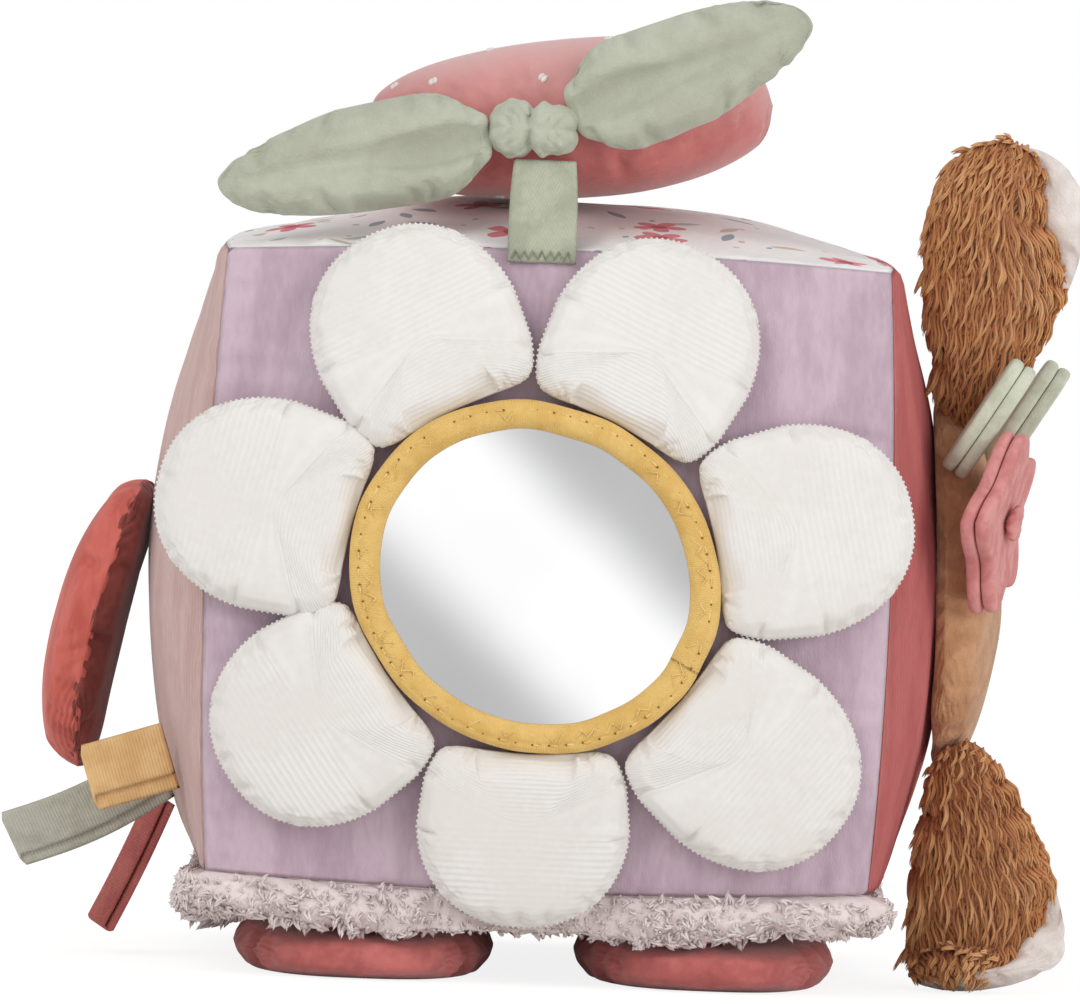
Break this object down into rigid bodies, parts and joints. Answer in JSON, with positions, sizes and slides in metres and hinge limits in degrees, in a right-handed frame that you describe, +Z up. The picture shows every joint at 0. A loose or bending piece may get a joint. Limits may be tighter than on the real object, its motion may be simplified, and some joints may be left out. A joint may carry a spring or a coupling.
{
  "type": "soft activity block",
  "caption": "Soft stuffed baby cube with a mirror flower, a hanging flap, ribbon labels, a plush rabbit head with ears and a strawberry on a strap.",
  "frame": {"origin": "on the floor, under the middle of the whole toy", "axes": "+Z up, the mirror flower faces -Y, the rabbit head is on the +X side"},
  "size_m": [0.2371, 0.1781, 0.216],
  "materials": {
    "lilac_velour": "short cut pile",
    "peach_velour": "fine rib velour",
    "rose_corduroy": "fine corduroy",
    "floral_jersey": null,
    "pink_teddy": "curly teddy pile",
    "grey_velour": "short cut pile",
    "wadding": "polyester fibre",
    "white_plastic": "satin",
    "silver_film": "mirror film",
    "foam_board": "matt",
    "mustard_cotton": "woven cotton",
    "white_rib": "fine rib knit",
    "sage_tape": "herringbone tape",
    "coral_velour": "short cut pile",
    "sage_velour": "short cut pile",
    "rust_velour": "short cut pile",
    "rust_lining": "smooth jersey",
    "clear_film": "crinkle film",
    "yellow_ribbon": "woven ribbon",
    "coral_ribbon": "woven ribbon",
    "white_ribbon": "satin ribbon",
    "tan_plush": "short pile",
    "brown_fur": "long pile",
    "white_plush": "short pile",
    "pink_felt": "felt",
    "sage_felt": "felt"
  },
  "bodies": {
    "block": {"front_panel": "lilac_velour", "back_panel": "grey_velour", "left_panel": "peach_velour", "right_panel": "rose_corduroy", "top_panel": "floral_jersey", "bottom_panel": "pink_teddy", "fibre_filling": "wadding", "pocket_plug": "wadding", "rattle_shell_front": "white_plastic", "rattle_shell_back": "white_plastic", "mirror_wadding": "wadding", "mirror_board": "foam_board", "mirror_film": "silver_film", "mirror_ring": "mustard_cotton", "rabbit_head": "tan_plush", "felt_flower": "pink_felt", "flower_button": "pink_felt", "felt_leaf_front": "sage_felt", "felt_leaf_back": "sage_felt", "left_lobe": "coral_velour", "right_lobe": "coral_velour"},
    "bead_1": {"rattle_bead_1": "white_plastic"},
    "bead_2": {"rattle_bead_2": "white_plastic"},
    "bead_3": {"rattle_bead_3": "white_plastic"},
    "petal_top_left": {"petal_top_left": "white_rib"},
    "petal_left": {"petal_left": "white_rib"},
    "petal_lower_left": {"petal_lower_left": "white_rib"},
    "petal_bottom": {"petal_bottom": "white_rib"},
    "petal_lower_right": {"petal_lower_right": "white_rib"},
    "petal_right": {"petal_right": "white_rib"},
    "petal_top_right": {"petal_top_right": "white_rib"},
    "strap": {"strawberry_strap": "sage_tape"},
    "strawberry": {"strawberry_body": "coral_velour", "bow_knot": "sage_velour"},
    "left_leaf": {"left_bow_leaf": "sage_velour"},
    "right_leaf": {"right_bow_leaf": "sage_velour"},
    "flap": {"flap_cover": "rust_velour", "flap_crinkle_film": "clear_film", "flap_lining": "rust_lining"},
    "yellow_label": {"yellow_label": "yellow_ribbon"},
    "green_label": {"green_label": "sage_tape"},
    "coral_label": {"coral_label": "coral_ribbon"},
    "care_label": {"care_label": "white_ribbon"},
    "upper_ear": {"upper_ear_fur": "brown_fur", "upper_ear_lining": "white_plush"},
    "lower_ear": {"lower_ear_fur": "brown_fur", "lower_ear_lining": "white_plush"}
  },
  "joints": [
    {"name": "bead_1_rattle", "type": "slide", "parent": "block", "child": "bead_1", "axis": [0, 0, 1], "range_m": [0, 0.0216]},
    {"name": "bead_2_rattle", "type": "slide", "parent": "block", "child": "bead_2", "axis": [0, 0, 1], "range_m": [0, 0.0216]},
    {"name": "bead_3_rattle", "type": "slide", "parent": "block", "child": "bead_3", "axis": [0, 0, 1], "range_m": [0, 0.0216]},
    {"name": "petal_top_left_lift", "type": "hinge", "parent": "block", "child": "petal_top_left", "pos_m": [-0.02219, -0.0846, 0.12597], "axis": [0.8829, 0, 0.4695], "range_deg": [0, 45], "stiffness_Nm_per_rad": 0.02},
    {"name": "petal_left_lift", "type": "hinge", "parent": "block", "child": "petal_left", "pos_m": [-0.04407, -0.0846, 0.09903], "axis": [0.225, 0, 0.9744], "range_deg": [0, 45], "stiffness_Nm_per_rad": 0.02},
    {"name": "petal_lower_left_lift", "type": "hinge", "parent": "block", "child": "petal_lower_left", "pos_m": [-0.0349, -0.0846, 0.0666], "axis": [-0.5807, 0, 0.8141], "range_deg": [0, 45], "stiffness_Nm_per_rad": 0.02},
    {"name": "petal_bottom_lift", "type": "hinge", "parent": "block", "child": "petal_bottom", "pos_m": [-0.00314, -0.0846, 0.05002], "axis": [-1, 0, 0.0087], "range_deg": [0, 45], "stiffness_Nm_per_rad": 0.02},
    {"name": "petal_lower_right_lift", "type": "hinge", "parent": "block", "child": "petal_lower_right", "pos_m": [0.03047, -0.0846, 0.06304], "axis": [-0.6225, 0, -0.7826], "range_deg": [0, 45], "stiffness_Nm_per_rad": 0.02},
    {"name": "petal_right_lift", "type": "hinge", "parent": "block", "child": "petal_right", "pos_m": [0.0372, -0.0846, 0.098], "axis": [0.2079, 0, -0.9781], "range_deg": [0, 45], "stiffness_Nm_per_rad": 0.02},
    {"name": "petal_top_right_lift", "type": "hinge", "parent": "block", "child": "petal_top_right", "pos_m": [0.01358, -0.0846, 0.12462], "axis": [0.9063, 0, -0.4226], "range_deg": [0, 45], "stiffness_Nm_per_rad": 0.02},
    {"name": "strap_tip", "type": "hinge", "parent": "block", "child": "strap", "pos_m": [-0.004, -0.0769, 0.1575], "axis": [1, 0, 0], "range_deg": [0, 25]},
    {"name": "strawberry_swing", "type": "hinge", "parent": "strap", "child": "strawberry", "pos_m": [-0.004, -0.0704, 0.1804], "axis": [1, 0, 0], "range_deg": [0, 60]},
    {"name": "left_leaf_bend", "type": "hinge", "parent": "strawberry", "child": "left_leaf", "pos_m": [-0.01643, -0.0704, 0.18465], "axis": [-0.2079, 0, 0.9781], "range_deg": [0, 20], "stiffness_Nm_per_rad": 0.02},
    {"name": "right_leaf_bend", "type": "hinge", "parent": "strawberry", "child": "right_leaf", "pos_m": [0.00135, -0.0704, 0.19019], "axis": [0.3907, 0, -0.9205], "range_deg": [0, 20], "stiffness_Nm_per_rad": 0.02},
    {"name": "flap_lift", "type": "hinge", "parent": "block", "child": "flap", "pos_m": [-0.09154, -0.002, 0.106], "axis": [0, 1, 0], "range_deg": [0, 100], "stiffness_Nm_per_rad": 0.05},
    {"name": "yellow_label_bend", "type": "hinge", "parent": "block", "child": "yellow_label", "pos_m": [-0.08137, -0.053, 0.0465], "axis": [-0.309, 0, 0.9511], "range_deg": [-30, 50], "stiffness_Nm_per_rad": 0.002},
    {"name": "green_label_bend", "type": "hinge", "parent": "block", "child": "green_label", "pos_m": [-0.08367, -0.037, 0.0425], "axis": [-0.454, 0, 0.891], "range_deg": [-25, 25], "stiffness_Nm_per_rad": 0.002},
    {"name": "coral_label_bend", "type": "hinge", "parent": "block", "child": "coral_label", "pos_m": [-0.08421, -0.019, 0.0355], "axis": [-0.4289, 0.8829, 0.1909], "range_deg": [0, 30], "stiffness_Nm_per_rad": 0.002},
    {"name": "care_label_lift", "type": "hinge", "parent": "block", "child": "care_label", "pos_m": [0.034, 0.0758, 0.02], "axis": [1, 0, 0], "range_deg": [0, 80], "stiffness_Nm_per_rad": 0.001},
    {"name": "upper_ear_bend", "type": "hinge", "parent": "block", "child": "upper_ear", "pos_m": [0.09192, -0.029, 0.12572], "axis": [0.9268, -0.342, -0.1551], "range_deg": [-30, 15], "stiffness_Nm_per_rad": 0.05},
    {"name": "lower_ear_bend", "type": "hinge", "parent": "block", "child": "lower_ear", "pos_m": [0.09383, -0.029, 0.05528], "axis": [-0.9268, 0.342, -0.1551], "range_deg": [0, 30], "stiffness_Nm_per_rad": 0.05}
  ]
}
